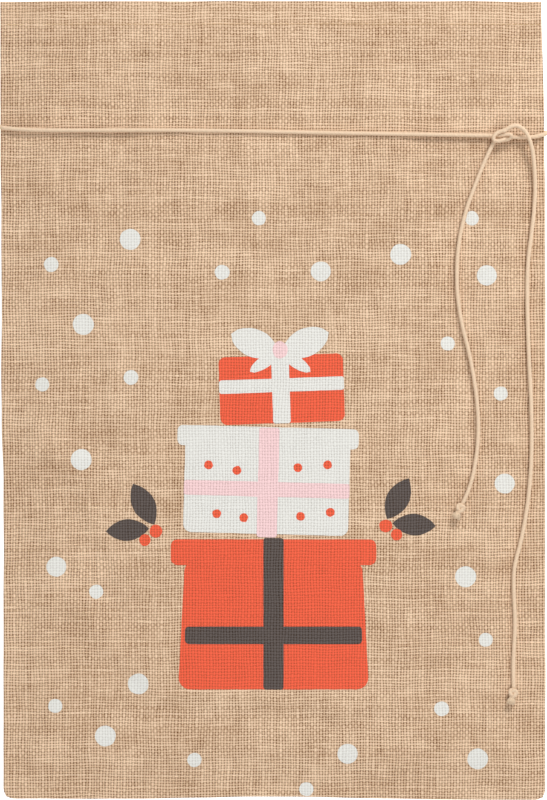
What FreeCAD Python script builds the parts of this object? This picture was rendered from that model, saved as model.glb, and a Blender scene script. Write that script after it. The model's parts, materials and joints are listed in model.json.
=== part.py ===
import FreeCAD, Part

import math
import os

# A hessian gift sack lying flat on its back. Millimetres.
# +X runs across the sack, +Y towards its mouth and +Z out of its front face.
# The origin is on the table under the middle of the sack.

# ---- driving dimensions: the sack ----
sack_width = 400.0
sack_height = 590.0
cloth_thickness = 0.8
seam_allowance = 10.0      # turned-in edge along the sides and the bottom
hem_depth = 19.0           # turned-in edge of the mouth
side_slope = 30.0          # strip in which the front and back curve towards a seam
neck_gap = 5.0             # free height inside the sack where the cord passes under it
running_gap = 0.4          # between the lip of the mouth and the cloth beside it

# ---- driving dimensions: the tie cord ----
cord_diameter = 3.2
neck_drop = 97.0           # mouth edge to the cord's line
cord_travel = 50.0         # how far the loop slides towards the bottom
cord_clearance = 0.3       # between the cord and the cloth
floor_gap = 0.05           # between the cord's back run and the table
lip_above_cord = 10.0      # fold line of the lip, above the cord's line
edge_turn = 3.6            # radius of the cord's line round the sack's edge
edge_overlap = 0.8         # centre of the cord's turn, in from the sack's edge
back_ramp = 55.0           # strip in which the back comes down to the table beside the cord
ridge_margin = 6.0         # raised back beyond the cord on either side of its travel
arc_share = 0.45           # share of a run that the arc at its end takes up

# ---- driving dimensions: knots ----
main_knot_length = 17.0
main_knot_radius = 4.4
main_knot_end_share = 0.7  # radius of the knot's ends, as a share of its middle
end_knot_length = 7.4
end_knot_radius = 3.3
end_knot_end_share = 0.75
end_knot_grip = 0.8        # length of the tail inside its end knot
tuft_length = 4.0
tuft_flare = 0.5           # growth of the tuft's radius towards its frayed end

# ---- driving dimensions: sewing thread ----
stitch_pitch = 4.2
stitch_length = 3.1
stitch_width = 0.6
stitch_height = 0.3
overlock_pitch = 6.0
overlock_width = 0.8
hem_stitch_inset = 2.0     # from the hem's inner edge to its stitches

# ---- levels and lines that follow from them ----
half_width = sack_width / 2
half_height = sack_height / 2
cord_radius = cord_diameter / 2
back_run_level = cord_radius + floor_gap
seam_level = back_run_level + edge_turn
flange_bottom = seam_level - 2 * cloth_thickness
flange_top = seam_level + 2 * cloth_thickness
ridge_inside = flange_bottom + cloth_thickness
front_inside = ridge_inside + neck_gap
front_outside = front_inside + cloth_thickness
seam_inner = half_width - seam_allowance
slope_inner = seam_inner - side_slope
bottom_seam = seam_allowance - half_height
bottom_slope = bottom_seam + side_slope
neck_line = half_height - neck_drop
lip_line = neck_line + lip_above_cord
ridge_high = lip_line + ridge_margin
ridge_low = neck_line - cord_travel - ridge_margin
cord_lie = cord_radius + cord_clearance
lip_half_width = seam_inner - running_gap
hem_stitch_line = half_height - hem_depth + hem_stitch_inset
hem_reach = seam_inner - side_slope / 3
edge_reach = half_width + edge_turn - edge_overlap
front_run_level = front_outside + cord_lie
flange_run_level = seam_level + edge_turn


def share(value, low, high):
    """How far value has gone from low to high, from 0 to 1."""
    return min(1.0, max(0.0, (value - low) / (high - low)))


def rise(x, y):
    """0 on the seams, 1 on the flat middle of a panel."""
    across = share(-abs(x), -seam_inner, -slope_inner)
    along = share(y, bottom_seam, bottom_slope)
    return min(across, along)


def front_under(x, y):
    """Underside of the front cloth."""
    low = flange_top - cloth_thickness
    return low + rise(x, y) * (front_inside - low)


def front_over(x, y):
    """Outer face of the front cloth."""
    return front_under(x, y) + cloth_thickness


def back_under(x, y):
    """Outer face of the back cloth: on the table, but carried over the cord's back run."""
    below_ridge = share(-y, -ridge_low, -(ridge_low - back_ramp))
    above_ridge = share(y, ridge_high, ridge_high + back_ramp)
    drop = min(rise(x, y), max(below_ridge, above_ridge))
    return flange_bottom * (1.0 - drop)


def back_over(x, y):
    """Inner face of the back cloth."""
    return back_under(x, y) + cloth_thickness


def faceted_sheet(across, along, under, over, kept=lambda i, j: True):
    """One closed solid between two faceted surfaces, over the kept cells of a grid."""
    cells = {
        (i, j)
        for i in range(len(across) - 1)
        for j in range(len(along) - 1)
        if kept(i, j)
    }

    def corner(i, j, surface):
        x, y = across[i], along[j]
        return FreeCAD.Vector(x, y, surface(x, y))

    faces = []

    def add(*points):
        faces.append(Part.Face(Part.makePolygon([*points, points[0]])))

    for i, j in sorted(cells):
        outward = across[i] + across[i + 1] > 0
        for surface in (under, over):
            a = corner(i, j, surface)
            b = corner(i + 1, j, surface)
            c = corner(i + 1, j + 1, surface)
            d = corner(i, j + 1, surface)
            if outward:
                add(a, b, d)
                add(b, c, d)
            else:
                add(a, b, c)
                add(a, c, d)
        borders = (
            ((i, j - 1), (i, j), (i + 1, j)),
            ((i + 1, j), (i + 1, j), (i + 1, j + 1)),
            ((i, j + 1), (i + 1, j + 1), (i, j + 1)),
            ((i - 1, j), (i, j + 1), (i, j)),
        )
        for beyond, first, last in borders:
            if beyond in cells:
                continue
            add(corner(*first, under), corner(*last, under), corner(*last, over), corner(*first, over))
    shell = Part.Shell(faces)
    shell.sewShape()
    solid = Part.Solid(shell)
    if solid.Volume < 0:
        solid.reverse()
    return solid.removeSplitter()


def block(low, high):
    """A box between two corners."""
    size = [b - a for a, b in zip(low, high)]
    return Part.makeBox(*size, FreeCAD.Vector(*low))


def stitch_row(first, last, pitch, make):
    """Separate stitches, evenly spaced between two places."""
    count = int((last - first) // pitch)
    spacing = (last - first) / count
    return Part.makeCompound([make(first + (k + 0.5) * spacing) for k in range(count)])


def rounded_path(points):
    """Straight runs joined by tangent arcs, and the radii of the arcs."""
    radii = []
    edges = []
    here = points[0]
    for before, corner, after in zip(points, points[1:], points[2:]):
        arriving = (corner - before).normalize()
        leaving = (after - corner).normalize()
        turn = arriving.getAngle(leaving)
        shorter = min((corner - before).Length, (after - corner).Length)
        reach = arc_share * shorter
        radius = reach / math.tan(turn / 2)
        start = corner - arriving * reach
        end = corner + leaving * reach
        inward = (leaving - arriving).normalize()
        middle = corner + inward * (radius / math.cos(turn / 2) - radius)
        edges.append(Part.LineSegment(here, start).toShape())
        edges.append(Part.Arc(start, middle, end).toShape())
        radii.append(radius)
        here = end
    edges.append(Part.LineSegment(here, points[-1]).toShape())
    return Part.Wire(edges), radii


def cord_tube(name, points):
    """A round cord along a route, checked against its section times its length."""
    points = [FreeCAD.Vector(*p) for p in points]
    path, radii = rounded_path(points)
    ring = Part.Circle(points[0], points[1] - points[0], cord_radius)
    tube = path.makePipeShell([Part.Wire(ring.toShape())], True, False)
    expected = math.pi * cord_radius**2 * path.Length
    runs = [(b - a).Length for a, b in zip(points, points[1:])]
    print(name, "length", round(path.Length, 1), "volume over section x length",
          round(tube.Volume / expected, 4))
    print("  radii", [round(r, 1) for r in radii])
    print("  runs", [round(r, 1) for r in runs])
    if abs(tube.Volume / expected - 1) > 0.01:
        raise ValueError(name + ": the tube's volume doesn't match its route")
    return tube


def barrel(centre, direction, length, radius, end_radius):
    """A knot: a round barrel about a line."""
    half = length / 2
    crown = Part.Arc(
        FreeCAD.Vector(-half, end_radius, 0),
        FreeCAD.Vector(0, radius, 0),
        FreeCAD.Vector(half, end_radius, 0),
    ).toShape()
    corners = [
        FreeCAD.Vector(half, end_radius, 0),
        FreeCAD.Vector(half, 0, 0),
        FreeCAD.Vector(-half, 0, 0),
        FreeCAD.Vector(-half, end_radius, 0),
    ]
    rest = [Part.LineSegment(a, b).toShape() for a, b in zip(corners, corners[1:])]
    profile = Part.Face(Part.Wire([crown, *rest]))
    knot = profile.revolve(FreeCAD.Vector(0, 0, 0), FreeCAD.Vector(1, 0, 0), 360)
    turn = FreeCAD.Rotation(FreeCAD.Vector(1, 0, 0), FreeCAD.Vector(*direction))
    knot.Placement = FreeCAD.Placement(FreeCAD.Vector(*centre), turn)
    return knot


# ---- grid lines of the panels ----
panel_across = [-half_width, -seam_inner, -slope_inner, slope_inner, seam_inner, half_width]
front_along = [-half_height, bottom_seam, bottom_slope, lip_line, half_height]
back_along = [
    -half_height,
    bottom_seam,
    bottom_slope,
    ridge_low - back_ramp,
    ridge_low,
    ridge_high,
    ridge_high + back_ramp,
    half_height,
]
seam_column = (0, len(panel_across) - 2)
lip_row = len(front_along) - 2


def front_panel():
    """The front cloth up to the lip's fold line, with a narrow arm up each side seam."""
    return faceted_sheet(
        panel_across,
        front_along,
        front_under,
        front_over,
        lambda i, j: j < lip_row or i in seam_column,
    )


def back_panel():
    return faceted_sheet(panel_across, back_along, back_under, back_over)


def lip_across():
    return [-lip_half_width, -slope_inner, slope_inner, lip_half_width]


def front_lip_panel():
    """The front cloth above the cord, which lifts to open the mouth."""
    along = [lip_line + running_gap, half_height]
    return faceted_sheet(lip_across(), along, front_under, front_over)


def front_hem():
    """The mouth's edge turned in under the lip."""
    return faceted_sheet(
        lip_across(),
        [half_height - hem_depth, half_height],
        lambda x, y: front_under(x, y) - cloth_thickness,
        front_under,
    )


def back_hem():
    """The mouth's edge turned in over the back."""
    return faceted_sheet(
        [-hem_reach, -slope_inner, slope_inner, hem_reach],
        [half_height - hem_depth, half_height],
        back_over,
        lambda x, y: back_over(x, y) + cloth_thickness,
    )


def side_allowance(side):
    """Two layers of cloth turned in between the panels along a side seam."""
    inner, outer = sorted((side * seam_inner, side * half_width))
    return block(
        (inner, -half_height, seam_level - cloth_thickness),
        (outer, half_height, seam_level + cloth_thickness),
    )


def bottom_allowance():
    return block(
        (-seam_inner, -half_height, seam_level - cloth_thickness),
        (seam_inner, bottom_seam, seam_level + cloth_thickness),
    )


def side_overlock(side):
    """Thread loops over the raw edge of a side allowance."""
    inner, outer = sorted((side * (seam_inner - overlock_width), side * seam_inner))

    def loop(y):
        return block(
            (inner, y - stitch_width / 2, seam_level - cloth_thickness),
            (outer, y + stitch_width / 2, seam_level + cloth_thickness),
        )

    return stitch_row(bottom_seam + overlock_width, half_height - hem_depth, overlock_pitch, loop)


def bottom_overlock():
    """Thread loops over the raw edge of the bottom allowance."""

    def loop(x):
        return block(
            (x - stitch_width / 2, bottom_seam, seam_level - cloth_thickness),
            (x + stitch_width / 2, bottom_seam + overlock_width, seam_level + cloth_thickness),
        )

    inner = seam_inner - overlock_width
    return stitch_row(-inner, inner, overlock_pitch, loop)


def front_hem_stitching():
    """Lockstitches on the lip's outer face, along the hem's inner edge."""

    def stitch(x):
        return block(
            (x - stitch_length / 2, hem_stitch_line - stitch_width / 2, front_outside),
            (x + stitch_length / 2, hem_stitch_line + stitch_width / 2, front_outside + stitch_height),
        )

    return stitch_row(-slope_inner, slope_inner, stitch_pitch, stitch)


def back_hem_stitching():
    """Lockstitches on the inner face of the back hem."""
    level = back_over(0, hem_stitch_line) + cloth_thickness

    def stitch(x):
        return block(
            (x - stitch_length / 2, hem_stitch_line - stitch_width / 2, level),
            (x + stitch_length / 2, hem_stitch_line + stitch_width / 2, level + stitch_height),
        )

    return stitch_row(-slope_inner, slope_inner, stitch_pitch, stitch)


# ---- the tie cord's route ----
# Plan places are given inwards from the sack's right or left edge and downwards from the neck line.
def plan(inset, drop):
    return half_width - inset, neck_line - drop


def left_plan(inset, drop):
    return inset - half_width, neck_line - drop


def on_front(inset, drop, lift=0.0):
    """A place of the cord's line where it lies on the front cloth, or a little above it."""
    x, y = plan(inset, drop)
    return x, y, front_over(x, y) + cord_lie + lift


def neck_route():
    """From the knot to the left edge, round it, back under the sack and round the right edge."""
    return [
        (*plan(39.5, 2.6), front_run_level),
        (*plan(142.0, 1.0), front_run_level),
        (*plan(262.0, -1.6), front_run_level),
        (*left_plan(41.5, -1.2), front_run_level + 0.3),
        (*left_plan(13.5, -1.9), flange_run_level + 0.6),
        (-edge_reach, neck_line + 3.8, flange_run_level),
        (-edge_reach, neck_line + 4.9, back_run_level),
        (*left_plan(12.0, -5.3), back_run_level),
        (*left_plan(70.0, -6.4), back_run_level),
        (*plan(230.0, -5.9), back_run_level),
        (*plan(120.0, -4.2), back_run_level),
        (*plan(40.0, -1.2), back_run_level),
        (*plan(11.0, -1.4), back_run_level),
        (edge_reach, neck_line + 0.4, back_run_level),
        (edge_reach, neck_line - 0.8, flange_run_level),
        (*plan(10.0, 4.3), flange_run_level + 0.1),
        (*plan(25.6, 3.5), main_knot_level - 1.9),
    ]


def short_tail_route():
    return [
        (*plan(36.6, 6.2), main_knot_level - 1.6),
        on_front(43.9, 21.1),
        on_front(50.6, 38.1),
        on_front(58.3, 58.9),
        on_front(63.8, 84.1),
        on_front(64.9, 112.2),
        on_front(62.0, 138.1),
        on_front(54.6, 165.5),
        on_front(49.1, 199.6),
        on_front(48.3, 226.2),
        on_front(52.0, 252.9),
        on_front(57.2, 268.4),
        on_front(60.7, 275.3),
    ]


def long_tail_route():
    """Up out of the knot in an arch, over the loop and down the sack's right side."""
    return [
        (*plan(30.6, 0.3), main_knot_level + 1.9),
        (*plan(24.8, -4.6), main_knot_level + 2.4),
        (*plan(18.2, -4.2), main_knot_level + 1.9),
        (*plan(12.5, 1.4), main_knot_level + 0.9),
        on_front(9.3, 10.6, 5.4),
        on_front(7.2, 23.2, 2.4),
        on_front(6.1, 44.1),
        on_front(8.3, 69.2),
        on_front(12.0, 95.2),
        on_front(12.5, 124.0),
        on_front(11.3, 162.5),
        on_front(9.1, 204.0),
        on_front(8.8, 236.6),
        on_front(11.1, 270.7),
        on_front(16.6, 301.8),
        on_front(22.3, 321.0),
        on_front(22.4, 340.3),
        on_front(21.0, 365.4),
        on_front(23.1, 392.1),
        on_front(22.4, 411.8),
    ]


main_knot_plan = plan(32.5, 3.2)
main_knot_level = front_over(*main_knot_plan) + 2 * cord_clearance + main_knot_radius


def main_knot():
    return barrel(
        (*main_knot_plan, main_knot_level),
        (1.0, 0.1, 0.0),
        main_knot_length,
        main_knot_radius,
        main_knot_radius * main_knot_end_share,
    )


def tail_end(route, heading):
    """Where the end knot of a tail lies, a little beyond the tail's last point."""
    x, y, _ = route[-1]
    ahead = end_knot_length / 2 - end_knot_grip
    x, y = x + heading[0] * ahead, y + heading[1] * ahead
    return x, y, front_over(x, y) + cord_clearance + end_knot_radius


def end_knot(route, heading):
    return barrel(
        tail_end(route, heading),
        (*heading, 0.0),
        end_knot_length,
        end_knot_radius,
        end_knot_radius * end_knot_end_share,
    )


def tuft(route, heading):
    """The frayed end that sticks out beyond an end knot."""
    x, y, z = tail_end(route, heading)
    start = FreeCAD.Vector(x + heading[0] * end_knot_length / 2, y + heading[1] * end_knot_length / 2, z)
    return Part.makeCone(
        cord_radius, cord_radius + tuft_flare, tuft_length, start, FreeCAD.Vector(*heading, 0.0)
    )


short_tail_heading = (-0.45, -0.893)
long_tail_heading = (-0.2, -0.98)

nodes = {
    "back_panel": back_panel(),
    "front_panel": front_panel(),
    "back_hem": back_hem(),
    "left_seam_allowance": side_allowance(-1),
    "right_seam_allowance": side_allowance(1),
    "bottom_seam_allowance": bottom_allowance(),
    "left_seam_overlock": side_overlock(-1),
    "right_seam_overlock": side_overlock(1),
    "bottom_seam_overlock": bottom_overlock(),
    "back_hem_stitching": back_hem_stitching(),
    "front_lip_panel": front_lip_panel(),
    "front_hem": front_hem(),
    "front_hem_stitching": front_hem_stitching(),
    "neck_loop": cord_tube("neck_loop", neck_route()),
    "main_knot": main_knot(),
    "short_tail": cord_tube("short_tail", short_tail_route()),
    "long_tail": cord_tube("long_tail", long_tail_route()),
    "short_tail_knot": end_knot(short_tail_route(), short_tail_heading),
    "long_tail_knot": end_knot(long_tail_route(), long_tail_heading),
    "short_tail_tuft": tuft(short_tail_route(), short_tail_heading),
    "long_tail_tuft": tuft(long_tail_route(), long_tail_heading),
}

os.makedirs("parts", exist_ok=True)
for name, shape in nodes.items():
    if not shape.isValid():
        raise ValueError(name + ": not a valid shape")
    shape.exportStep("parts/" + name + ".step")
    box = shape.BoundBox
    print(f"{name}: {len(shape.Solids)} solid(s), {shape.Volume / 1000:.2f} cm3,",
          f"x {box.XMin:.2f} {box.XMax:.2f}, y {box.YMin:.2f} {box.YMax:.2f}, z {box.ZMin:.2f} {box.ZMax:.2f}")
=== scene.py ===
import json
import math

import bpy
import numpy as np
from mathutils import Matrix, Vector, bvhtree, geometry, noise


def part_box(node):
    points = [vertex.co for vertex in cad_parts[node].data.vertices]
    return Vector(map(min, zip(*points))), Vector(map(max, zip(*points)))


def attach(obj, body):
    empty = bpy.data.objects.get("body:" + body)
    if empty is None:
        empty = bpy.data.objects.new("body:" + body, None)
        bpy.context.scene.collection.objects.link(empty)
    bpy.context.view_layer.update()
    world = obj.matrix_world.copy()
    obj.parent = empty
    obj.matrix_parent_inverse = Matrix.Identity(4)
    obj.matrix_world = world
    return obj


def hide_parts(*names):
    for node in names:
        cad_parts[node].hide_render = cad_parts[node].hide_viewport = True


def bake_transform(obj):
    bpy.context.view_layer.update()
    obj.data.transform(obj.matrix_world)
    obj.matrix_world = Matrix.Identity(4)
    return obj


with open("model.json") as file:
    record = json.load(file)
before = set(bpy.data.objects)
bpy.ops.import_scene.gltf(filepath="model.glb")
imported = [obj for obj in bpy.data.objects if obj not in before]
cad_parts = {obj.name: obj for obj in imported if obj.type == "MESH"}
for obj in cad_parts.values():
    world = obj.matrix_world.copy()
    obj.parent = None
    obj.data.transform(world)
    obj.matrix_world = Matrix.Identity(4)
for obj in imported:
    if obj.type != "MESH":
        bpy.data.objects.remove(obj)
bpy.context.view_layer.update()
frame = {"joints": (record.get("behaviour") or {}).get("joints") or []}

bl_info = {
    "name": "Hessian gift sack",
    "version": (1, 0, 0),
    "blender": (4, 5, 0),
    "location": "View3D > Sidebar > Gift sack",
    "description": "Builds a printed hessian gift sack with a knotted cotton tie cord",
    "category": "Object",
}

MM = 0.001
SACK = "sack"
TIE = "tie_cord"

# ---- places that the frame gives ----
PANEL_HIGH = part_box("front_panel")[1]
ALLOWANCE_LOW, ALLOWANCE_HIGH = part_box("left_seam_allowance")
LIP_JOINT = next(joint for joint in frame["joints"] if joint["name"] == "mouth_opens")
HALF_WIDTH = PANEL_HIGH.x
HALF_HEIGHT = PANEL_HIGH.y
FRONT_LEVEL = PANEL_HIGH.z
CLOTH = (ALLOWANCE_HIGH.z - ALLOWANCE_LOW.z) / 2
SEAM_LEVEL = (ALLOWANCE_HIGH.z + ALLOWANCE_LOW.z) / 2
SEAM_WIDTH = ALLOWANCE_HIGH.x - ALLOWANCE_LOW.x
SEAM_INNER = HALF_WIDTH - SEAM_WIDTH
FLANGE_TOP = SEAM_LEVEL + 2 * CLOTH
FLANGE_BOTTOM = SEAM_LEVEL - 2 * CLOTH
LIP_LINE = LIP_JOINT["pos_m"][1]
NECK_LINE = LIP_LINE - 10 * MM
HEM_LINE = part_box("front_hem")[0].y
SIDE_SLOPE = 30 * MM
RIDGE_HIGH = LIP_LINE + 6 * MM
RIDGE_LOW = NECK_LINE - 56 * MM
BACK_RAMP = 55 * MM
KNOT_LOW, KNOT_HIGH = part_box("main_knot")
KNOT_CENTRE = (KNOT_LOW + KNOT_HIGH) / 2
CORD_LIE = 1.9 * MM


# ---------------------------------------------------------------- settings


def linear(code):
    """An sRGB hex colour as linear red, green, blue and alpha."""
    channels = [int(code[i : i + 2], 16) / 255 for i in (1, 3, 5)]
    return tuple(c / 12.92 if c <= 0.04045 else ((c + 0.055) / 1.055) ** 2.4 for c in channels) + (1.0,)


def colour_property(name, description, code):
    return bpy.props.FloatVectorProperty(
        name=name, description=description, subtype="COLOR", size=4, min=0.0, max=1.0, default=linear(code)
    )


def length_property(name, description, default):
    return bpy.props.FloatProperty(name=name, description=description, default=default, unit="LENGTH")


class SackSizes(bpy.types.PropertyGroup):
    warp_pitch: length_property("Warp pitch", "Distance between threads that run up the sack", 2.144 * MM)
    weft_pitch: length_property("Weft pitch", "Distance between threads that run across it", 2.115 * MM)
    cell: length_property("Cloth cell", "Size of the cloth's mesh cells", 3.2 * MM)
    cord_diameter: length_property("Cord diameter", "Diameter of the tie cord", 3.2 * MM)
    lay_length: length_property("Cord lay", "Length of one turn of the cord's strands", 11 * MM)
    hem_stitch_pitch: length_property("Hem stitch pitch", "Distance between the hem's stitches", 4.2 * MM)
    overlock_pitch: length_property("Overlock pitch", "Distance between the overlock's loops", 6 * MM)


class SackColours(bpy.types.PropertyGroup):
    # The light jute colour is clean yarn and also the painted highlight on the threads' tops; the dark jute
    # colour is darker yarn and also painted shade on the threads' sides; the gap colour is painted shade in
    # the depth between the threads.
    jute_clean_and_lit_top: colour_property("Light jute", "Top of a clean jute thread", "#EED1B3")
    jute_dark_and_side_shade: colour_property("Dark jute", "Side of a jute thread", "#8A5B28")
    jute_gap_shade: colour_property("Jute gap", "Depth between the threads", "#603810")
    cotton: colour_property("Cotton cord", "Beige twisted cotton", "#F8DFC3")
    frayed: colour_property("Frayed cotton", "Loose ends of the cotton cord", "#FFEACE")
    thread: colour_property("Sewing thread", "Jute-coloured sewing thread", "#D9B88E")
    red_ink: colour_property("Red ink", "Orange-red screen ink", "#EF6144")
    white_ink: colour_property("White ink", "Off-white screen ink", "#E5E5E0")
    charcoal_ink: colour_property("Charcoal ink", "Warm charcoal screen ink", "#453F3D")
    pink_ink: colour_property("Pink ink", "Pale pink screen ink", "#F3D0D2")
    table: colour_property("Table", "White table top", "#F1F3F4")


def sizes():
    return bpy.context.scene.sack_sizes


def colours():
    return bpy.context.scene.sack_colours


# ---------------------------------------------------------------- materials


def add_node(tree, kind, settings=None, links=None):
    """A node with its settings, and its inputs set to values or linked to sockets. Returns the node."""
    node = tree.nodes.new(kind)
    for key, value in (settings or {}).items():
        setattr(node, key, value)
    for key, value in (links or {}).items():
        socket = node.inputs[key]
        if isinstance(value, bpy.types.NodeSocket):
            tree.links.new(value, socket)
        else:
            socket.default_value = value
    return node


def maths(tree, operation, *values):
    """The output of a Math node."""
    return add_node(tree, "ShaderNodeMath", {"operation": operation}, dict(enumerate(values))).outputs[0]


def weave_group():
    """Plain weave: the height of the upper thread, how much of a gap shows, and the thread's own tone."""
    known = bpy.data.node_groups.get("Plain weave")
    if known:
        return known
    tree = bpy.data.node_groups.new("Plain weave", "ShaderNodeTree")
    face = tree.interface
    face.new_socket("Vector", in_out="INPUT", socket_type="NodeSocketVector")
    for name in ("Warp pitch", "Weft pitch"):
        face.new_socket(name, in_out="INPUT", socket_type="NodeSocketFloat")
    for name in ("Height", "Gap", "Tone"):
        face.new_socket(name, in_out="OUTPUT", socket_type="NodeSocketFloat")
    given = add_node(tree, "NodeGroupInput")
    place = add_node(tree, "ShaderNodeSeparateXYZ", links={0: given.outputs["Vector"]})

    def wander(seed, across, along, amount):
        """How far a thread strays from its straight line: noise of so many waves a metre, in metres."""
        spread = add_node(
            tree, "ShaderNodeVectorMath", {"operation": "MULTIPLY_ADD"},
            {0: given.outputs["Vector"], 1: (across, along, 1.0), 2: (seed, seed, seed)},
        )
        drift = add_node(
            tree, "ShaderNodeTexNoise", {"noise_dimensions": "3D"},
            {"Vector": spread.outputs[0], "Scale": 1.0, "Detail": 1.0, "Roughness": 0.5},
        )
        return maths(tree, "MULTIPLY", maths(tree, "SUBTRACT", drift.outputs["Fac"], 0.5), amount)

    def thread(position, drift, pitch, run, seed, middle, contrast):
        """One set of threads: roundness, where it is outside, tone, and its swing over and under."""
        count = maths(tree, "DIVIDE", maths(tree, "ADD", position, drift), pitch)
        index = maths(tree, "FLOOR", count)
        offset = maths(tree, "SUBTRACT", maths(tree, "SUBTRACT", count, index), 0.5)
        own = add_node(
            tree, "ShaderNodeTexWhiteNoise", {"noise_dimensions": "1D"},
            {"W": maths(tree, "ADD", index, seed)},
        ).outputs["Value"]
        cell = add_node(
            tree, "ShaderNodeCombineXYZ",
            links={0: maths(tree, "MULTIPLY", index, 7.31), 1: maths(tree, "MULTIPLY", run, 45.0), 2: seed},
        )
        slub = add_node(
            tree, "ShaderNodeTexNoise", {"noise_dimensions": "3D"},
            {"Vector": cell.outputs[0], "Scale": 1.0, "Detail": 4.5, "Roughness": 0.72},
        ).outputs["Fac"]
        half = maths(tree, "MULTIPLY_ADD", own, 0.05, middle)
        half = maths(tree, "MULTIPLY_ADD", maths(tree, "SUBTRACT", slub, 0.5), 0.5, half)
        share = maths(tree, "DIVIDE", offset, half)
        left = maths(tree, "SUBTRACT", 1.0, maths(tree, "MULTIPLY", share, share))
        round_top = maths(tree, "SQRT", maths(tree, "MAXIMUM", left, 0.0))
        outside = maths(tree, "LESS_THAN", left, 0.0)
        tone = maths(tree, "MULTIPLY_ADD", own, 0.22, maths(tree, "MULTIPLY", slub, 0.9))
        tone = maths(tree, "MULTIPLY_ADD", tone, contrast, 0.56 * (1 - contrast))
        swing = maths(tree, "COSINE", maths(tree, "MULTIPLY", maths(tree, "SUBTRACT", count, 0.5), math.pi))
        return round_top, outside, tone, swing

    warp_drift = maths(tree, "ADD", wander(3.0, 10.0, 18.0, 0.0030), wander(5.0, 150.0, 40.0, 0.0019))
    weft_drift = maths(tree, "ADD", wander(8.0, 18.0, 10.0, 0.0030), wander(9.0, 40.0, 150.0, 0.0019))
    # the warp is the evener yarn; the weft carries the cleaner and darker lengths
    warp = thread(
        place.outputs[0], warp_drift, given.outputs["Warp pitch"], place.outputs[1], 11.0, 0.395, 0.65
    )
    weft = thread(
        place.outputs[1], weft_drift, given.outputs["Weft pitch"], place.outputs[0], 57.0, 0.255, 1.25
    )
    crossing = maths(tree, "MULTIPLY", warp[3], weft[3])

    def level(round_top, outside, side):
        body = maths(tree, "MULTIPLY_ADD", round_top, 0.5, maths(tree, "MULTIPLY", crossing, side))
        return maths(tree, "SUBTRACT", body, maths(tree, "MULTIPLY", outside, 2.0))

    warp_level = level(warp[0], warp[1], -0.3)
    weft_level = level(weft[0], weft[1], 0.3)
    upper = maths(tree, "MAXIMUM", warp_level, weft_level)
    height = maths(tree, "MAXIMUM", upper, -0.6)
    gap = add_node(
        tree, "ShaderNodeMapRange", {"interpolation_type": "SMOOTHSTEP"},
        {"Value": height, "From Min": -0.35, "From Max": 0.62, "To Min": 1.0, "To Max": 0.0},
    )
    weft_shows = maths(tree, "GREATER_THAN", weft_level, warp_level)
    tone = add_node(
        tree, "ShaderNodeMix", {"data_type": "FLOAT"},
        {"Factor": weft_shows, "A": warp[2], "B": weft[2]},
    )
    out = add_node(tree, "NodeGroupOutput")
    for name, socket in (("Height", height), ("Gap", gap.outputs[0]), ("Tone", tone.outputs[0])):
        tree.links.new(socket, out.inputs[name])
    return tree


def fresh_material(name):
    """A material with an empty tree, its shader and its output."""
    material = bpy.data.materials.new(name)
    material.use_nodes = True
    tree = material.node_tree
    tree.nodes.clear()
    shader = add_node(tree, "ShaderNodeBsdfPrincipled")
    add_node(tree, "ShaderNodeOutputMaterial", links={"Surface": shader.outputs[0]})
    return material, tree, shader


def weave_of(tree):
    """The plain weave on the piece's own coordinates."""
    place = add_node(tree, "ShaderNodeTexCoord").outputs["Object"]
    weave = add_node(
        tree, "ShaderNodeGroup", {"node_tree": weave_group()},
        {"Vector": place, "Warp pitch": sizes().warp_pitch, "Weft pitch": sizes().weft_pitch},
    )
    return place, weave


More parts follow.
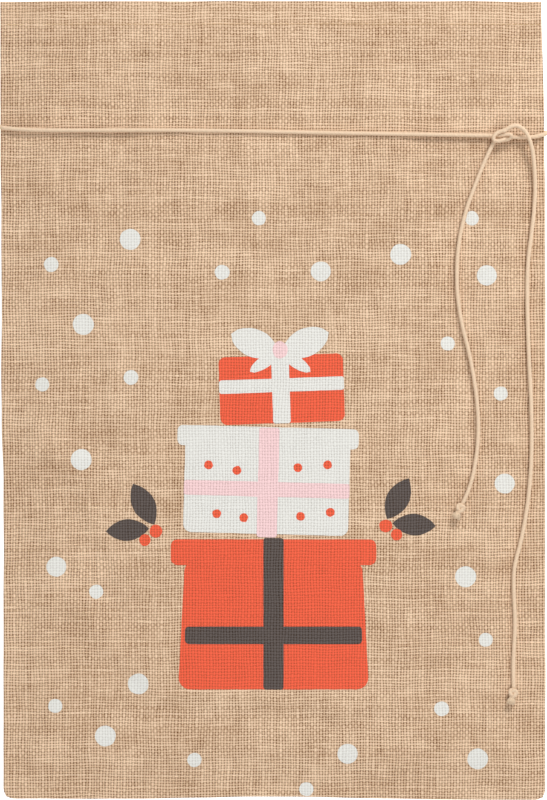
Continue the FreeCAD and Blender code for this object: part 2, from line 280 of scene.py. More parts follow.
def hessian():
    """Hessian: coarse plain-woven jute. Matt, hairy threads with slubs, with a painted highlight on the
    threads' tops, painted shade on their sides and brown painted shade in the gaps.
    """
    known = bpy.data.materials.get("Hessian, plain woven")
    if known:
        return known
    material, tree, shader = fresh_material("Hessian, plain woven")
    place, weave = weave_of(tree)
    # bands of cleaner and darker yarn, a few centimetres long and mostly along the weft
    along_weft = add_node(
        tree, "ShaderNodeVectorMath", {"operation": "MULTIPLY"}, {0: place, 1: (0.55, 1.5, 1.0)}
    )
    banding = add_node(
        tree, "ShaderNodeTexNoise", {"noise_dimensions": "3D"},
        {"Vector": along_weft.outputs[0], "Scale": 42.0, "Detail": 4.0, "Roughness": 0.6},
    ).outputs["Fac"]
    fibre = add_node(
        tree, "ShaderNodeTexNoise", {"noise_dimensions": "3D"},
        {"Vector": place, "Scale": 2600.0, "Detail": 2.0, "Roughness": 0.6},
    ).outputs["Fac"]
    tone = maths(tree, "MULTIPLY_ADD", banding, 0.45, maths(tree, "MULTIPLY", weave.outputs["Tone"], 0.7))
    tone = maths(tree, "MULTIPLY_ADD", fibre, 0.35, tone)
    # the weave's height lightens the threads' tops and darkens their sides: painted highlight and painted
    # shade, on top of the yarn's own tone
    tone = maths(tree, "MULTIPLY_ADD", weave.outputs["Height"], 0.55, tone)
    lit = add_node(
        tree, "ShaderNodeMapRange", {},
        {"Value": tone, "From Min": 0.5, "From Max": 1.32, "To Min": 0.0, "To Max": 1.0},
    )
    top = add_node(
        tree, "ShaderNodeMix", {"data_type": "RGBA"},
        {"Factor": lit.outputs[0], "A": colours().jute_dark_and_side_shade, "B": colours().jute_clean_and_lit_top},
    )
    # the gaps get painted shade; at the mouth the hem's second layer of cloth shows through them, so less
    # shade is painted there
    up_the_sack = add_node(tree, "ShaderNodeSeparateXYZ", links={0: place}).outputs[1]
    depth = add_node(
        tree, "ShaderNodeMapRange", {},
        {"Value": up_the_sack, "From Min": HEM_LINE - 1 * MM, "From Max": HEM_LINE,
         "To Min": 1.0, "To Max": 0.72},
    )
    gap = maths(tree, "MULTIPLY", weave.outputs["Gap"], depth.outputs[0])
    # the brown gap colour is painted shade in the depth between the threads
    whole = add_node(
        tree, "ShaderNodeMix", {"data_type": "RGBA"},
        {"Factor": gap, "A": top.outputs["Result"], "B": colours().jute_gap_shade},
    )
    tree.links.new(whole.outputs["Result"], shader.inputs["Base Color"])
    relief = maths(tree, "MULTIPLY_ADD", fibre, 0.25, weave.outputs["Height"])
    bump = add_node(tree, "ShaderNodeBump", {}, {"Height": relief, "Strength": 0.5, "Distance": 0.0005})
    tree.links.new(bump.outputs[0], shader.inputs["Normal"])
    shader.inputs["Roughness"].default_value = 0.95
    shader.inputs["Specular IOR Level"].default_value = 0.06
    return material


def ink(name, colour, dive_shade_level, top_highlight_level, bare_and_shaded_holes):
    """Water-based screen ink on hessian: flat and matt, the threads show through as soft relief.

    Its tone goes from painted shade between the threads to a painted highlight on their tops; the last
    argument is how much the holes show dark jute: bare jute where the ink is worn, and painted shade in the
    gaps.
    """
    known = bpy.data.materials.get(name)
    if known:
        return known
    material, tree, shader = fresh_material(name)
    place, weave = weave_of(tree)
    worn = add_node(
        tree, "ShaderNodeTexNoise", {"noise_dimensions": "3D"},
        {"Vector": place, "Scale": 900.0, "Detail": 3.0, "Roughness": 0.6},
    ).outputs["Fac"]
    # the holes show the dark jute colour: bare jute where the ink is worn, and painted shade in the gaps
    # between the threads
    gap_shade_and_bare = maths(tree, "MULTIPLY", weave.outputs["Gap"], maths(tree, "POWER", worn, 1.5))
    bare_jute_and_gap_shade = maths(tree, "MULTIPLY_ADD", gap_shade_and_bare, bare_and_shaded_holes, maths(tree, "MULTIPLY", worn, 0.05))
    # painted highlight on the threads' tops and painted shade where they dive under one another, from the
    # weave's height
    height_shade_and_highlight = add_node(
        tree, "ShaderNodeMapRange", {},
        {"Value": weave.outputs["Height"], "From Min": -0.2, "From Max": 0.8,
         "To Min": dive_shade_level, "To Max": top_highlight_level},
    )
    shaded_highlighted_ink = add_node(
        tree, "ShaderNodeVectorMath", {"operation": "SCALE"}, {0: colour[:3], "Scale": height_shade_and_highlight.outputs[0]}
    )
    # mixes in the dark jute colour: bare jute and painted gap shade
    shade = add_node(
        tree, "ShaderNodeMix", {"data_type": "RGBA"},
        {"Factor": bare_jute_and_gap_shade, "A": shaded_highlighted_ink.outputs[0], "B": colours().jute_dark_and_side_shade},
    )
    tree.links.new(shade.outputs["Result"], shader.inputs["Base Color"])
    bump = add_node(
        tree, "ShaderNodeBump", {},
        {"Height": weave.outputs["Height"], "Strength": 0.6, "Distance": 0.0005},
    )
    tree.links.new(bump.outputs[0], shader.inputs["Normal"])
    shader.inputs["Roughness"].default_value = 0.8
    shader.inputs["Specular IOR Level"].default_value = 0.2
    return material


def spun_fibre(name, colour, scale, roughness):
    """Spun fibre: matt, with fine streaks along the twist from the piece's own UV map."""
    known = bpy.data.materials.get(name)
    if known:
        return known
    material, tree, shader = fresh_material(name)
    along = add_node(tree, "ShaderNodeUVMap", {"uv_map": "Lay"}).outputs[0]
    stretch = add_node(
        tree, "ShaderNodeVectorMath", {"operation": "MULTIPLY"}, {0: along, 1: (scale, 30.0, 1.0)}
    )
    streaks = add_node(
        tree, "ShaderNodeTexNoise", {"noise_dimensions": "2D"},
        {"Vector": stretch.outputs[0], "Scale": 1.0, "Detail": 4.0, "Roughness": 0.65},
    ).outputs["Fac"]
    darker = tuple(c * f for c, f in zip(colour, (0.62, 0.56, 0.5, 1.0)))
    shade = add_node(
        tree, "ShaderNodeMix", {"data_type": "RGBA"}, {"Factor": streaks, "A": darker, "B": colour}
    )
    tree.links.new(shade.outputs["Result"], shader.inputs["Base Color"])
    bump = add_node(tree, "ShaderNodeBump", {}, {"Height": streaks, "Strength": 0.35, "Distance": 0.0003})
    tree.links.new(bump.outputs[0], shader.inputs["Normal"])
    shader.inputs["Roughness"].default_value = roughness
    shader.inputs["Specular IOR Level"].default_value = 0.1
    return material


def cotton_cord():
    """Soft twisted cotton: smooth, matt and pale."""
    return spun_fibre("Cotton cord, twisted", tuple(colours().cotton), 300.0, 0.85)


def frayed_cotton():
    """Loose cotton fibres, paler than the twisted cord."""
    return spun_fibre("Cotton fibres, frayed", tuple(colours().frayed), 300.0, 0.9)


def sewing_thread():
    """Spun sewing thread in the jute's own colour."""
    return spun_fibre("Sewing thread, spun", tuple(colours().thread), 800.0, 0.75)


def table_top():
    """Opal acrylic, lit softly from below: a plain white table that hardly takes a shadow."""
    material, tree, shader = fresh_material("Opal acrylic, backlit")
    shader.inputs["Base Color"].default_value = colours().table
    shader.inputs["Roughness"].default_value = 0.6
    shader.inputs["Emission Color"].default_value = colours().table
    shader.inputs["Emission Strength"].default_value = 0.72
    return material


# ---------------------------------------------------------------- shared shapes


def share(value, low, high):
    """How far value has gone from low to high, from 0 to 1, eased at both ends."""
    part = min(1.0, max(0.0, (value - low) / (high - low)))
    return part * part * (3 - 2 * part)


def rise(x, y):
    """0 on the seams, 1 on the flat middle of a panel."""
    across = share(SEAM_INNER + SEAM_WIDTH * 0.5 - abs(x), 0.0, SIDE_SLOPE + SEAM_WIDTH * 0.5)
    along = share(y + HALF_HEIGHT - SEAM_WIDTH * 0.5, 0.0, SIDE_SLOPE + SEAM_WIDTH * 0.5)
    return min(across, along)


RELIEF_CAP = 0.8 * MM


class FrontRelief:
    """How far the settled front cloth stands above or below its plain shape."""

    field = None
    across = 0
    along = 0

    @classmethod
    def at(cls, x, y):
        if cls.field is None:
            return 0.0
        column = (x + HALF_WIDTH) / (2 * HALF_WIDTH) * (cls.across - 1)
        row = (y + HALF_HEIGHT) / (2 * HALF_HEIGHT) * (cls.along - 1)
        i = int(min(max(column, 0), cls.across - 2))
        j = int(min(max(row, 0), cls.along - 2))
        s = min(max(column - i, 0.0), 1.0)
        t = min(max(row - j, 0.0), 1.0)
        lower = cls.field[j][i] * (1 - s) + cls.field[j][i + 1] * s
        upper = cls.field[j + 1][i] * (1 - s) + cls.field[j + 1][i + 1] * s
        return lower * (1 - t) + upper * t


def front_height(x, y):
    """Outer face of the front cloth."""
    return FLANGE_TOP + rise(x, y) * (FRONT_LEVEL - FLANGE_TOP) + FrontRelief.at(x, y)


def back_height(x, y):
    """Outer face of the back cloth."""
    below_ridge = share(-y, -RIDGE_LOW, -(RIDGE_LOW - BACK_RAMP))
    above_ridge = share(y, RIDGE_HIGH, RIDGE_HIGH + BACK_RAMP)
    return FLANGE_BOTTOM * (1.0 - min(rise(x, y), max(below_ridge, above_ridge)))


def outline_shift(x, y):
    """The slight lean and waviness of the sack's outline, as a move across and along."""
    left = -2.3 * MM + 0.8 * MM * share(-y, -190 * MM, -120 * MM) + 1.5 * MM * share(-y, 15 * MM, 60 * MM)
    right = 1.4 * MM - 0.8 * MM * share(y, 110 * MM, 200 * MM) - 2.0 * MM * share(y, 205 * MM, 290 * MM)
    across = left + (right - left) * (x / HALF_WIDTH + 1) / 2
    edge = abs(x / HALF_WIDTH) ** 6
    across += 0.5 * MM * edge * noise.noise(Vector((math.copysign(5.0, x), y * 22.0, 1.0)))
    corner = share(abs(x), HALF_WIDTH - 7 * MM, HALF_WIDTH) * share(-y, HALF_HEIGHT - 7 * MM, HALF_HEIGHT)
    across -= math.copysign(1.7 * MM, x) * corner
    foot = share(-y, 0.6 * HALF_HEIGHT, HALF_HEIGHT)
    dip = 2.4 * math.exp(-((x / (90 * MM)) ** 2)) + 0.9 * share(-x, 40 * MM, 190 * MM) - 1.3
    along = foot * dip * MM + 1.7 * MM * corner
    end = abs(y / HALF_HEIGHT) ** 8
    along += 0.4 * MM * end * noise.noise(Vector((x * 25.0, math.copysign(3.0, y), 2.0)))
    return across, along


EDGE_ROLL = 2 * CLOTH
HEM_INSET = 0.3 * MM
HEM_GAP = 0.05 * MM


def rolled_lines(low, high, cell, roll_low, roll_high):
    """Grid lines between two edges, with extra lines where an edge rolls down to its seam.

    Each line is its place and how far down the roll it is, from 0 to 1.
    """
    steps = 5
    angles = [k / steps * math.pi / 2 for k in range(1, steps + 1)]
    inner_low = low + (EDGE_ROLL if roll_low else 0.0)
    inner_high = high - (EDGE_ROLL if roll_high else 0.0)
    count = max(2, round((inner_high - inner_low) / cell))
    lines = [(inner_low + (inner_high - inner_low) * k / count, 0.0) for k in range(count + 1)]
    if roll_low:
        lines = [(inner_low - EDGE_ROLL * math.sin(a), 1 - math.cos(a)) for a in reversed(angles)] + lines
    if roll_high:
        lines += [(inner_high + EDGE_ROLL * math.sin(a), 1 - math.cos(a)) for a in angles]
    return lines


def grid_mesh(name, columns, rows, place, material, upward=True):
    """A mesh of one sheet: place gives the point of a column and a row."""
    points = [place(column, row) for row in rows for column in columns]
    width = len(columns)
    faces = []
    for j in range(len(rows) - 1):
        for i in range(width - 1):
            a = j * width + i
            face = (a, a + 1, a + width + 1, a + width)
            faces.append(face if upward else face[::-1])
    return mesh_piece(name, points, faces, material)


def mesh_piece(name, points, faces, material, smooth=True):
    """A new object at the origin, with its place in its mesh."""
    mesh = bpy.data.meshes.new(name)
    mesh.from_pydata([tuple(p) for p in points], [], faces)
    mesh.materials.append(material)
    mesh.polygons.foreach_set("use_smooth", [smooth] * len(mesh.polygons))
    mesh.update()
    piece = bpy.data.objects.new(name, mesh)
    bpy.context.collection.objects.link(piece)
    return piece


def settle(piece):
    """Applies every modifier, so that the evaluated mesh is the piece's own."""
    bpy.context.view_layer.update()
    evaluated = piece.evaluated_get(bpy.context.evaluated_depsgraph_get())
    mesh = bpy.data.meshes.new_from_object(evaluated)
    old = piece.data
    piece.modifiers.clear()
    piece.data = mesh
    mesh.name = piece.name
    if isinstance(old, bpy.types.Mesh):
        bpy.data.meshes.remove(old)
    return piece


def thicken(piece, thickness, outward_offset=-1.0):
    """Gives a sheet its thickness, inwards from the face it has."""
    solid = piece.modifiers.new("Thickness", "SOLIDIFY")
    solid.thickness = thickness
    solid.offset = outward_offset
    settle(piece)
    piece.data.set_sharp_from_angle(angle=math.radians(40))
    return piece


def panel_place(column, row, height, seam_side):
    """A point of a panel's outer face, with its edges rolled to the seams.

    height gives the panel's level, and seam_side is 1 above the seam and -1 below it.
    """
    x, side_roll = column
    y, foot_roll = row
    flat_x = math.copysign(min(abs(x), HALF_WIDTH - EDGE_ROLL), x)
    z = height(flat_x, max(y, EDGE_ROLL - HALF_HEIGHT))
    roll = 1 - (1 - side_roll) * (1 - foot_roll)
    z = z + (SEAM_LEVEL + seam_side * 0.1 * MM - z) * roll
    across, along = outline_shift(x, y)
    return x + across, y + along, z


def front_place(column, row):
    return panel_place(column, row, front_height, 1)


def back_place(column, row):
    return panel_place(column, row, back_height, -1)


# ---------------------------------------------------------------- the cloth


def settle_front_cloth():
    """Lets the whole front cloth settle as cloth, held at its seams, and keeps its relief."""
    across, along = 81, 119
    points = []
    for j in range(along):
        for i in range(across):
            x = -HALF_WIDTH + 2 * HALF_WIDTH * i / (across - 1)
            y = -HALF_HEIGHT + 2 * HALF_HEIGHT * j / (along - 1)
            points.append((x, y, front_height(x, y)))
    faces = []
    for j in range(along - 1):
        for i in range(across - 1):
            a = j * across + i
            faces.append((a, a + 1, a + across + 1, a + across))
    cloth = mesh_piece("settling_cloth", points, faces, hessian())
    held = cloth.vertex_groups.new(name="held")
    edge = [
        j * across + i
        for j in range(along)
        for i in range(across)
        if i in (0, 1, across - 2, across - 1) or j in (0, 1)
    ]
    held.add(edge, 1.0, "REPLACE")
    modifier = cloth.modifiers.new("Cloth", "CLOTH")
    setup = modifier.settings
    setup.quality = 6
    setup.mass = 0.01
    setup.tension_stiffness = 40
    setup.compression_stiffness = 40
    setup.shear_stiffness = 20
    setup.bending_stiffness = 2.5
    setup.vertex_group_mass = "held"
    setup.shrink_min = -0.006
    setup.use_pressure = True
    setup.uniform_pressure_force = 0.25
    setup.effector_weights.gravity = 0.0
    modifier.collision_settings.use_collision = False
    modifier.collision_settings.use_self_collision = False
    scene = bpy.context.scene
    scene.frame_start = 1
    scene.frame_end = 20
    for step in range(1, 21):
        scene.frame_set(step)
    evaluated = cloth.evaluated_get(bpy.context.evaluated_depsgraph_get())
    mesh = bpy.data.meshes.new_from_object(evaluated)
    moved = np.array([v.co.z for v in mesh.vertices]).reshape(along, across)
    plain = np.array(points)[:, 2].reshape(along, across)
    relief = moved - plain
    scene.frame_set(1)
    bpy.data.meshes.remove(mesh)
    bpy.data.objects.remove(cloth)
    relief = RELIEF_CAP * np.tanh((relief - np.median(relief)) / RELIEF_CAP)
    FrontRelief.across = across
    FrontRelief.along = along
    FrontRelief.field = relief.tolist()


def bend_with_lip(piece):
    """Bakes the piece's transform into its mesh; the lip's hinge is read but the piece is not bent."""
    _, hinge_y, hinge_z = LIP_JOINT["pos_m"]
    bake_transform(piece)


class OBJECT_OT_sack_front(bpy.types.Operator):
    """Front cloth up to the lip's fold line"""

    bl_idname = "object.sack_front"
    bl_label = "Front cloth"

    def execute(self, context):
        settle_front_cloth()
        cell = sizes().cell
        columns = rolled_lines(-HALF_WIDTH, HALF_WIDTH, cell, True, True)
        rows = rolled_lines(-HALF_HEIGHT, LIP_LINE, cell, True, False)
        piece = grid_mesh("front_cloth", columns, rows, front_place, hessian())
        thicken(piece, CLOTH)
        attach(piece, SACK)
        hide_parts("front_panel")
        return {"FINISHED"}


class OBJECT_OT_sack_lip(bpy.types.Operator):
    """Lip of the mouth and its hem, in two halves from the side seams to the middle"""

    bl_idname = "object.sack_lip"
    bl_label = "Mouth lip"

    def execute(self, context):
        cell = sizes().cell
        for side, name in ((-1, "left"), (1, "right")):
            low, high = sorted((side * HALF_WIDTH, 0.0))
            columns = rolled_lines(low, high, cell, side < 0, side > 0)
            rows = rolled_lines(LIP_LINE, HALF_HEIGHT, cell, False, False)
            lip = grid_mesh("front_lip_" + name, columns, rows, front_place, hessian())
            thicken(lip, CLOTH)
            hem_low, hem_high = sorted((side * (SEAM_INNER - 1 * MM), 0.0))
            hem_columns = rolled_lines(hem_low, hem_high, cell, False, False)
            hem_rows = rolled_lines(HEM_LINE, HALF_HEIGHT, cell, False, False)
            hem = grid_mesh("front_hem_" + name, hem_columns, hem_rows, self.hem_place, hessian())
            thicken(hem, CLOTH)
            for piece, node, lower_edge in (
                (lip, "front_lip_panel", LIP_LINE), (hem, "front_hem", HEM_LINE),
            ):
                bend_with_lip(piece)
                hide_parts(node)
        return {"FINISHED"}

    @staticmethod
    def hem_place(column, row):
        x, y, z = front_place((column[0], 0.0), (row[0], 0.0))
        return x, y - HEM_INSET, z - CLOTH - HEM_GAP


class OBJECT_OT_sack_back(bpy.types.Operator):
    """Back cloth, its hem and the turned-in seam edges"""

    bl_idname = "object.sack_back"
    bl_label = "Back cloth and seams"

    def execute(self, context):
        cell = sizes().cell
        columns = rolled_lines(-HALF_WIDTH, HALF_WIDTH, cell, True, True)
        rows = rolled_lines(-HALF_HEIGHT, HALF_HEIGHT, cell, True, False)
        back = grid_mesh("back_cloth", columns, rows, back_place, hessian(), upward=False)
        thicken(back, CLOTH)
        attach(back, SACK)
        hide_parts("back_panel")
        hem_low, hem_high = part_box("back_hem")
        hem = grid_mesh(
            "back_hem_cloth",
            rolled_lines(hem_low.x, hem_high.x, cell, False, False),
            rolled_lines(hem_low.y, hem_high.y, cell, False, False),
            self.hem_place,
            hessian(),
        )
        thicken(hem, CLOTH, 1.0)
        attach(hem, SACK)
        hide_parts("back_hem")
        for name in ("left_seam_allowance", "right_seam_allowance", "bottom_seam_allowance"):
            self.turned_edge(name)
        return {"FINISHED"}

    @staticmethod
    def hem_place(column, row):
        x, y, z = back_place((column[0], 0.0), (row[0], 0.0))
        return x, y - HEM_INSET, z + CLOTH + HEM_GAP

    @staticmethod
    def turned_edge(node):
        """Two layers of raw cloth edge, one on the other, with a frayed inner line."""
        low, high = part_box(node)
        lengthwise = high.y - low.y > high.x - low.x
        trim = 1.8 * MM
        low = Vector((low.x + trim, low.y + trim, low.z))
        high = Vector((high.x - trim, high.y - trim, high.z))
        start, end = (low.y, high.y) if lengthwise else (low.x, high.x)
        near, far = (low.x, high.x) if lengthwise else (low.y, high.y)
        steps = int((end - start) / (3 * MM))
        points = []
        faces = []
        for layer in range(2):
            base = low.z + 0.12 * MM + layer * (CLOTH - 0.05 * MM)
            first = len(points)
            for k in range(steps + 1):
                run = start + (end - start) * k / steps
                ragged = 0.5 * MM * noise.noise(Vector((run * 300, layer * 7.0, near * 50)))
                inner_is_far = abs(far) < abs(near)
                a = near + (0.0 if inner_is_far else ragged)
                b = far + (ragged if inner_is_far else 0.0)
                for near_or_far in (a, b):
                    x, y = (near_or_far, run) if lengthwise else (run, near_or_far)
                    across, along = outline_shift(x, y)
                    points.append((x + across, y + along, base))
                    points.append((x + across, y + along, base + CLOTH * 0.85))
            for k in range(steps):
                p = first + k * 4
                q = p + 4
                ring = [p, p + 1, p + 3, p + 2]
                step = [q, q + 1, q + 3, q + 2]
                for m in range(4):
                    face = (ring[m], ring[(m + 1) % 4], step[(m + 1) % 4], step[m])
                    faces.append(face if lengthwise else face[::-1])
            for p in (first, first + steps * 4):
                cap = (p, p + 2, p + 3, p + 1)
                forward = (p == first) == lengthwise
                faces.append(cap if forward else cap[::-1])
        piece = mesh_piece(node + "_cloth", points, faces, hessian(), smooth=False)
        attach(piece, SACK)
        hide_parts(node)


# ---------------------------------------------------------------- sewing


def stitch_tree(name, looped):
    """Geometry nodes: stitches or thread loops spaced along a path, with a little seeded variation."""
    tree = bpy.data.node_groups.new(name, "GeometryNodeTree")
    face = tree.interface
    face.new_socket("Geometry", in_out="INPUT", socket_type="NodeSocketGeometry")
    for label in ("Pitch", "Length", "Thickness", "Height"):
        face.new_socket(label, in_out="INPUT", socket_type="NodeSocketFloat")
    face.new_socket("Material", in_out="INPUT", socket_type="NodeSocketMaterial")
    face.new_socket("Geometry", in_out="OUTPUT", socket_type="NodeSocketGeometry")
    given = add_node(tree, "NodeGroupInput")
    path = add_node(tree, "GeometryNodeMeshToCurve", links={"Mesh": given.outputs["Geometry"]})
    spaced = add_node(
        tree, "GeometryNodeResampleCurve", {"mode": "LENGTH"},
        {"Curve": path.outputs[0], "Length": given.outputs["Pitch"]},
    )
    if looped:
        spine = add_node(tree, "GeometryNodeCurvePrimitiveCircle", links={"Resolution": 10, "Radius": 0.5})
    else:
        line = add_node(
            tree, "GeometryNodeCurvePrimitiveLine",
            links={"Start": (-0.5, 0.0, 0.0), "End": (0.5, 0.0, 0.0)},
        )
        spine = add_node(
            tree, "GeometryNodeResampleCurve", {"mode": "COUNT"}, {"Curve": line.outputs[0], "Count": 6}
        )
    half = maths(tree, "MULTIPLY", given.outputs["Thickness"], 0.5)
    size = add_node(
        tree, "ShaderNodeCombineXYZ",
        links={0: given.outputs["Length"], 1: given.outputs["Height"], 2: given.outputs["Height"]},
    )
    shaped = add_node(
        tree, "GeometryNodeTransform",
        links={"Geometry": spine.outputs[0], "Scale": size.outputs[0]},
    )
    section = add_node(tree, "GeometryNodeCurvePrimitiveCircle", links={"Resolution": 6, "Radius": half})
    solid = add_node(
        tree, "GeometryNodeCurveToMesh",
        links={"Curve": shaped.outputs[0], "Profile Curve": section.outputs[0], "Fill Caps": True},
    )
    tangent = add_node(tree, "GeometryNodeInputTangent")
    heading = add_node(
        tree, "FunctionNodeAlignRotationToVector", {"axis": "X"}, {"Vector": tangent.outputs[0]}
    )
    tilt = add_node(
        tree, "FunctionNodeRandomValue", {"data_type": "FLOAT_VECTOR"},
        {"Min": (-0.05, -0.03, -0.12), "Max": (0.05, 0.03, 0.12), "Seed": 4},
    )
    turned = add_node(
        tree, "FunctionNodeRotateRotation", {},
        {"Rotation": heading.outputs[0], "Rotate By": tilt.outputs[0]},
    )
    placed = add_node(
        tree, "GeometryNodeInstanceOnPoints",
        links={"Points": spaced.outputs[0], "Instance": solid.outputs[0], "Rotation": turned.outputs[0]},
    )
    real = add_node(tree, "GeometryNodeRealizeInstances", links={0: placed.outputs[0]})
    finished = add_node(
        tree, "GeometryNodeSetMaterial",
        links={"Geometry": real.outputs[0], "Material": given.outputs["Material"]},
    )
    add_node(tree, "NodeGroupOutput", links={0: finished.outputs[0]})
    return tree


def sewn_row(name, tree, points, pitch, length, thickness, height):
    """Stitches along a path of points, as a plain mesh with its lay in a UV map."""
    mesh = bpy.data.meshes.new(name)
    mesh.from_pydata(points, [(k, k + 1) for k in range(len(points) - 1)], [])
    piece = bpy.data.objects.new(name, mesh)
    bpy.context.collection.objects.link(piece)
    modifier = piece.modifiers.new("Stitches", "NODES")
    modifier.node_group = tree
    values = {
        "Pitch": pitch, "Length": length, "Thickness": thickness, "Height": height,
        "Material": sewing_thread(),
    }
    for item in tree.interface.items_tree:
        if item.in_out == "INPUT" and item.name in values:
            modifier[item.identifier] = values[item.name]
    settle(piece)
    lay = piece.data.uv_layers.new(name="Lay")
    for loop in piece.data.loops:
        co = piece.data.vertices[loop.vertex_index].co
        lay.data[loop.index].uv = (co.x + co.y, co.z * 30)
    return piece


class OBJECT_OT_sack_sewing(bpy.types.Operator):
    """Hem stitches and the overlock inside the seams"""

    bl_idname = "object.sack_sewing"
    bl_label = "Sewing"

    def execute(self, context):
        straight = stitch_tree("Lockstitch row", False)
        loops = stitch_tree("Overlock row", True)
        sew_low, sew_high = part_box("front_hem_stitching")
        sew_line = (sew_low.y + sew_high.y) / 2
        pitch = sizes().hem_stitch_pitch
        for side, name in ((-1, "left"), (1, "right")):
            reach = HALF_WIDTH - 6 * MM
            count = 48
            places = [side * (1.5 * MM + reach * k / count) for k in range(count + 1)]
            row = [(x, sew_line, front_height(x, sew_line) + 0.05 * MM) for x in places]
            piece = sewn_row("front_hem_stitches_" + name, straight, row, pitch, 3.1 * MM, 0.5 * MM, 1.0)
            bend_with_lip(piece)
            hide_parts("front_hem_stitching")
        inner_low, inner_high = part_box("back_hem_stitching")
        row = [
            (x, sew_line, back_height(x, sew_line) + 2 * CLOTH + 0.1 * MM)
            for x in np.linspace(inner_low.x, inner_high.x, 60).tolist()
        ]
        piece = sewn_row("back_hem_stitches", straight, row, pitch, 3.1 * MM, 0.5 * MM, 1.0)
        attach(piece, SACK)
        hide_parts("back_hem_stitching")
        for node in ("left_seam_overlock", "right_seam_overlock", "bottom_seam_overlock"):
            low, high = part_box(node)
            middle = (low + high) / 2
            if high.y - low.y > high.x - low.x:
                row = [(middle.x, y, middle.z) for y in (low.y, high.y)]
            else:
                row = [(x, middle.y, middle.z) for x in (low.x, high.x)]
            pitch = sizes().overlock_pitch
            piece = sewn_row(node + "_loops", loops, row, pitch, 1.1 * MM, 0.4 * MM, 1.0 * MM)
            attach(piece, SACK)
            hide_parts(node)
        return {"FINISHED"}


# ---------------------------------------------------------------- the tie cord


def plan(inset, drop):
    return HALF_WIDTH - inset * MM, NECK_LINE - drop * MM


def left_plan(inset, drop):
    return inset * MM - HALF_WIDTH, NECK_LINE - drop * MM


def slope_level(x):
    """The level at which the cord lies on the front cloth, by how near the side it is."""
    part = min(1.0, max(0.0, (SEAM_INNER - abs(x)) / SIDE_SLOPE))
    return FLANGE_TOP + part * (FRONT_LEVEL - FLANGE_TOP) + CORD_LIE


def on_front(inset, drop, lift=0.0):
    x, y = plan(inset, drop)
    return x, y, slope_level(x) + lift * MM


EDGE_TURN = 3.6 * MM
EDGE_REACH = HALF_WIDTH + 2.8 * MM
FRONT_RUN = FRONT_LEVEL + CORD_LIE
FLANGE_RUN = SEAM_LEVEL + EDGE_TURN
BACK_RUN = SEAM_LEVEL - EDGE_TURN
KNOT_LEVEL = KNOT_CENTRE.z

NECK_ROUTE = [
    (*plan(39.5, 2.6), FRONT_RUN),
    (*plan(142.0, 1.0), FRONT_RUN),
    (*plan(262.0, -1.6), FRONT_RUN),
    (*left_plan(41.5, -1.2), FRONT_RUN + 0.3 * MM),
    (*left_plan(13.5, -1.9), FLANGE_RUN + 0.6 * MM),
    (-EDGE_REACH, NECK_LINE + 3.8 * MM, FLANGE_RUN),
    (-EDGE_REACH, NECK_LINE + 4.9 * MM, BACK_RUN),
    (*left_plan(12.0, -5.3), BACK_RUN),
    (*left_plan(70.0, -6.4), BACK_RUN),
    (*plan(230.0, -5.9), BACK_RUN),
    (*plan(120.0, -4.2), BACK_RUN),
    (*plan(40.0, -1.2), BACK_RUN),
    (*plan(11.0, -1.4), BACK_RUN),
    (EDGE_REACH, NECK_LINE + 0.4 * MM, BACK_RUN),
    (EDGE_REACH, NECK_LINE - 0.8 * MM, FLANGE_RUN),
    (*plan(10.0, 4.3), FLANGE_RUN + 0.1 * MM),
    (*plan(25.6, 3.5), KNOT_LEVEL - 1.9 * MM),
]

SHORT_TAIL_ROUTE = [
    (*plan(36.6, 6.2), KNOT_LEVEL - 1.6 * MM),
    on_front(43.9, 21.1),
    on_front(50.6, 38.1),
    on_front(58.3, 58.9),
    on_front(63.8, 84.1),
    on_front(64.9, 112.2),
    on_front(62.0, 138.1),
    on_front(54.6, 165.5),
    on_front(49.1, 199.6),
    on_front(48.3, 226.2),
    on_front(52.0, 252.9),
    on_front(57.2, 268.4),
    on_front(60.7, 275.3),
]

LONG_TAIL_ROUTE = [
    (*plan(30.6, 0.3), KNOT_LEVEL + 1.9 * MM),
    (*plan(24.8, -4.6), KNOT_LEVEL + 2.4 * MM),
    (*plan(18.2, -4.2), KNOT_LEVEL + 1.9 * MM),
    (*plan(12.5, 1.4), KNOT_LEVEL + 0.9 * MM),
    on_front(9.3, 10.6, 5.4),
    on_front(7.2, 23.2, 2.4),
    on_front(6.1, 44.1),
    on_front(8.3, 69.2),
    on_front(12.0, 95.2),
    on_front(12.5, 124.0),
    on_front(11.3, 162.5),
    on_front(9.1, 204.0),
    on_front(8.8, 236.6),
    on_front(11.1, 270.7),
    on_front(16.6, 301.8),
    on_front(22.3, 321.0),
    on_front(22.4, 340.3),
    on_front(21.0, 365.4),
    on_front(23.1, 392.1),
    on_front(22.4, 411.8),
]


def smooth_route(name, points, step):
    """Points along the NURBS spline of a route, evenly spaced."""
    curve = bpy.data.curves.new(name + "_route", "CURVE")
    curve.dimensions = "3D"
    curve.resolution_u = 24
    spline = curve.splines.new("NURBS")
    spline.points.add(len(points) - 1)
    for target, point in zip(spline.points, points):
        target.co = (*point, 1.0)
    spline.order_u = 3
    spline.use_endpoint_u = True
    holder = bpy.data.objects.new(name + "_route", curve)
    bpy.context.collection.objects.link(holder)
    bpy.context.view_layer.update()
    mesh = bpy.data.meshes.new_from_object(holder.evaluated_get(bpy.context.evaluated_depsgraph_get()))
    line = np.array([v.co for v in mesh.vertices])
    bpy.data.meshes.remove(mesh)
    bpy.data.objects.remove(holder)
    bpy.data.curves.remove(curve)
    lengths = np.concatenate([[0.0], np.cumsum(np.linalg.norm(np.diff(line, axis=0), axis=1))])
    count = max(4, round(lengths[-1] / step))
    wanted = np.linspace(0.0, lengths[-1], count + 1)
    even = np.stack([np.interp(wanted, lengths, line[:, k]) for k in range(3)], axis=1)
    return even, float(lengths[-1])


